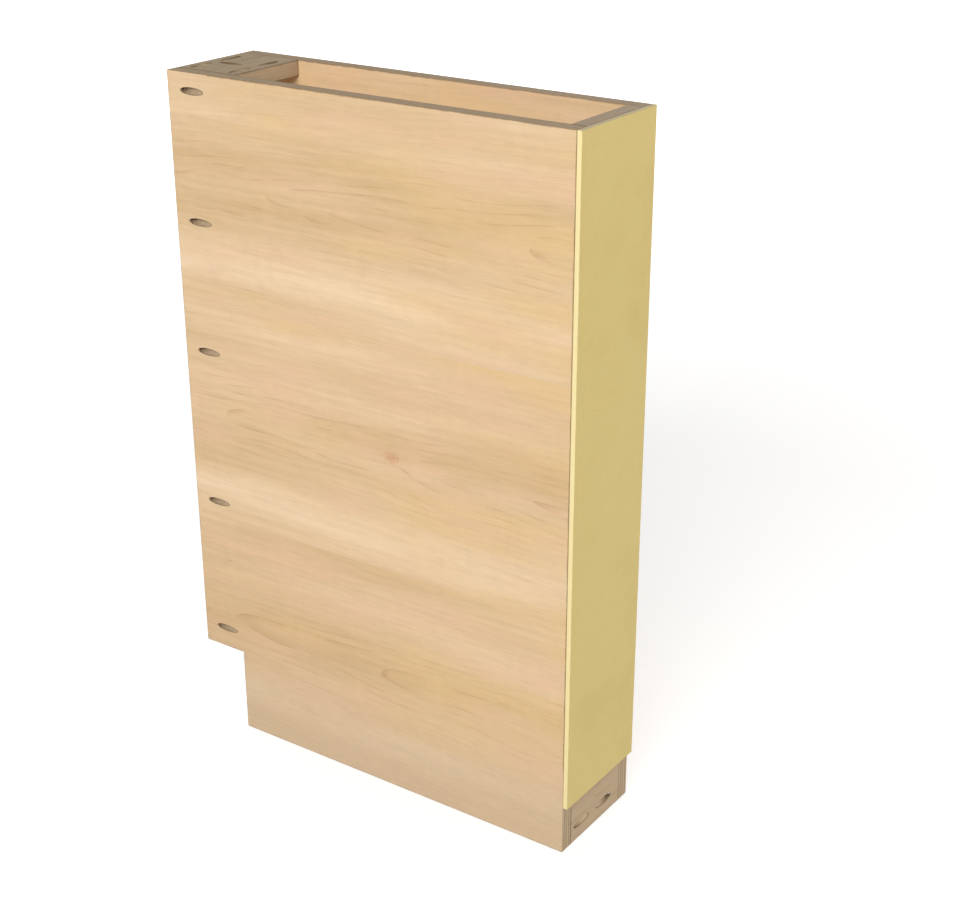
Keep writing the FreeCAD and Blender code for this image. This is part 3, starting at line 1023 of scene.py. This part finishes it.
class CABINET_OT_dress_sides(Operator):
    """Give both side panels their veneer, layered edges and drilled pockets"""

    bl_idname = "cabinet.dress_sides"
    bl_label = "Dress Side Panels"

    def execute(self, context):
        plywood = settings().plywood
        notch = (
            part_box("toe_kick_board")[0].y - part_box("right_side_panel")[0].y,
            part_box("bottom_shelf")[0].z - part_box("right_side_panel")[0].z,
        )
        for piece, knots in (("right_side_panel", KNOTS), ("left_side_panel", ())):
            material = plywood_material(piece, Y, Z, X, plywood.heart, plywood.foot_height, knots, notch)
            dress(piece, material)
        return {"FINISHED"}


class CABINET_OT_dress_shelf(Operator):
    """Give the bottom shelf its veneer and layered edges"""

    bl_idname = "cabinet.dress_shelf"
    bl_label = "Dress Shelf"

    def execute(self, context):
        heart = settings().plywood.shelf_heart
        dress("bottom_shelf", plywood_material("bottom_shelf", Y, X, Z, heart))
        return {"FINISHED"}


class CABINET_OT_dress_boards(Operator):
    """Give the four cross boards their sawn grain"""

    bl_idname = "cabinet.dress_boards"
    bl_label = "Dress Cross Boards"

    def execute(self, context):
        for piece, values in BOARDS.items():
            dress(piece, board_material(piece, *values))
        return {"FINISHED"}


class CABINET_OT_dress_back(Operator):
    """Give the back its fibre sheet"""

    bl_idname = "cabinet.dress_back"
    bl_label = "Dress Back"

    def execute(self, context):
        dress("back_panel", back_material("back_panel"))
        return {"FINISHED"}


class CABINET_OT_drive_screws(Operator):
    """Drive a threaded screw into every end pocket"""

    bl_idname = "cabinet.drive_screws"
    bl_label = "Drive Pocket Screws"

    def execute(self, context):
        screws = settings().screws
        material = zinc_material()
        turn = np.linspace(0.0, 2 * pi, 32, endpoint=False)
        for board, mouth in POCKET_FACES.items():
            for side, sign in SIDES.items():
                node = f"{board}_screws_{side}"
                inward = np.array([-sign, 0, 0])
                axis = cos(screws.slope) * inward + sin(screws.slope) * np.array(mouth)
                shapes = []
                for points in clumps(node_points(node), np.cross(inward, mouth), screws.washer_radius):
                    top, reach = turned_span(points, axis)
                    heights, radii = screw_surface(screws, reach - screws.head_height, turn)
                    seat = top - screws.head_height * axis
                    shapes.append(turned_points(seat, axis, heights, radii, turn))
                fastener_piece(f"threaded_{node}", shapes, radii.shape, material, node, "zinc_screw")
        return {"FINISHED"}


class CABINET_OT_drive_brads(Operator):
    """Drive the brads that hold the back"""

    bl_idname = "cabinet.drive_brads"
    bl_label = "Drive Brads"

    def execute(self, context):
        brads = settings().brads
        material = brad_material()
        turn = np.linspace(0.0, 2 * pi, 24, endpoint=False)
        axis = np.array([0, 1, 0])
        for node in BRAD_NODES:
            points = node_points(node)
            span = np.ptp(points, axis=0)
            row = np.eye(3)[X if span[X] > span[Z] else Z]
            shapes = []
            for clump in clumps(points, row, 2 * brads.head_thickness):
                top, reach = turned_span(clump, axis)
                head_radius = np.ptp(clump[:, X]) / 2
                heights, radii = brad_surface(brads, reach, head_radius, turn)
                shapes.append(turned_points(top, axis, heights, radii, turn))
            fastener_piece(f"ringed_{node}", shapes, radii.shape, material, node, "brad_steel")
        return {"FINISHED"}


class CABINET_OT_set_stage(Operator):
    """Set the camera, the soft lamps and the pale floor"""

    bl_idname = "cabinet.set_stage"
    bl_label = "Set Stage"

    def execute(self, context):
        stage = settings().stage
        make_floor()
        make_world()
        make_camera()
        for lamp, (azimuth, elevation, height) in LAMPS.items():
            soft_lamp(lamp, radians(azimuth), radians(elevation), getattr(stage, lamp), height)
        context.scene.view_settings.view_transform = "Standard"
        return {"FINISHED"}


class CABINET_PT_sidebar(Panel):
    """The cabinet's steps and settings"""

    bl_idname = "CABINET_PT_sidebar"
    bl_label = "Tray Base Cabinet"
    bl_space_type = "VIEW_3D"
    bl_region_type = "UI"
    bl_category = "Cabinet"

    def draw(self, context):
        for operator in OPERATORS:
            self.layout.operator(operator.bl_idname)
        for group in CabinetSettings.__annotations__:
            values = getattr(context.scene.tray_cabinet, group)
            box = self.layout.box()
            box.label(text=group.title())
            for name in values.__annotations__:
                box.prop(values, name)


OPERATORS = (
    CABINET_OT_dress_sides,
    CABINET_OT_dress_shelf,
    CABINET_OT_dress_boards,
    CABINET_OT_dress_back,
    CABINET_OT_drive_screws,
    CABINET_OT_drive_brads,
    CABINET_OT_set_stage,
)
GROUPS = (PlywoodSettings, BoardSettings, BackSettings, ScrewSettings, BradSettings, StageSettings)
CLASSES = (*GROUPS, CabinetSettings, *OPERATORS, CABINET_PT_sidebar)


def register():
    """Makes the classes known and gives every scene its settings."""
    for item in CLASSES:
        bpy.utils.register_class(item)
    bpy.types.Scene.tray_cabinet = PointerProperty(type=CabinetSettings)


def unregister():
    """Takes the settings and the classes away again."""
    del bpy.types.Scene.tray_cabinet
    for item in reversed(CLASSES):
        bpy.utils.unregister_class(item)


def write_sizes():
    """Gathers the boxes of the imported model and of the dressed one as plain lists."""
    boxes = {"cad": CAD_BOX, "visual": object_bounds()}
    plain = {name: [list(corner) for corner in box] for name, box in boxes.items()}


def main():
    """Runs every step in order and gathers the sizes."""
    register()
    bpy.ops.cabinet.dress_sides()
    bpy.ops.cabinet.dress_shelf()
    bpy.ops.cabinet.dress_boards()
    bpy.ops.cabinet.dress_back()
    bpy.ops.cabinet.drive_screws()
    bpy.ops.cabinet.drive_brads()
    bpy.ops.cabinet.set_stage()
    write_sizes()


if __name__ == "__main__":
    main()
